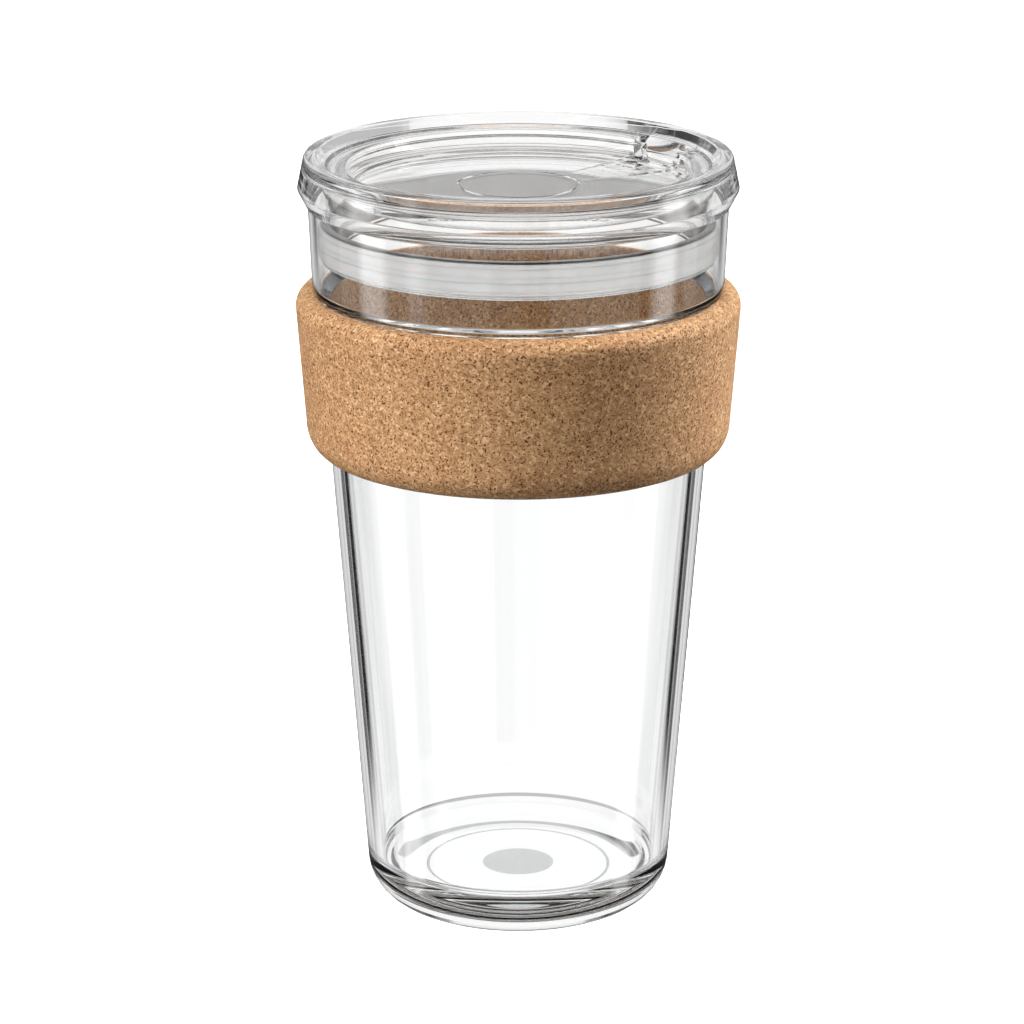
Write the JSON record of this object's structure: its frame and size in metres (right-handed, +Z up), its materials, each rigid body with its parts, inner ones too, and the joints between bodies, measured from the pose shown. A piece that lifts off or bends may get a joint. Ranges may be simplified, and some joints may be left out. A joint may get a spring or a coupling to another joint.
{
  "type": "glass travel cup",
  "caption": "Tapered glass tumbler with a cork grip band and a clear press-fit sip lid on a silicone seal.",
  "frame": {"origin": "centre of the base, on the surface that the cup stands on", "axes": "+Z up along the cup's axis; +X to the right and +Y to the back when the sip ramp of the lid is at the right rear"},
  "size_m": [0.0914, 0.0914, 0.16],
  "materials": {
    "clear_glass": "polished clear glass",
    "cork": "moulded agglomerated cork with fine dark grains",
    "clear_plastic": "polished clear moulded plastic",
    "silicone": "milky translucent silicone, satin"
  },
  "bodies": {
    "cup": {"glass_tumbler": "clear_glass"},
    "band": {"cork_band": "cork"},
    "lid": {"clear_lid": "clear_plastic", "silicone_seal": "silicone"}
  },
  "joints": [
    {"name": "lid_lift", "type": "slide", "parent": "cup", "child": "lid", "axis": [0, 0, 1], "range_m": [0, 0.03]},
    {"name": "band_slide", "type": "slide", "parent": "cup", "child": "band", "axis": [0, 0, -1], "range_m": [0, 0.085]}
  ]
}
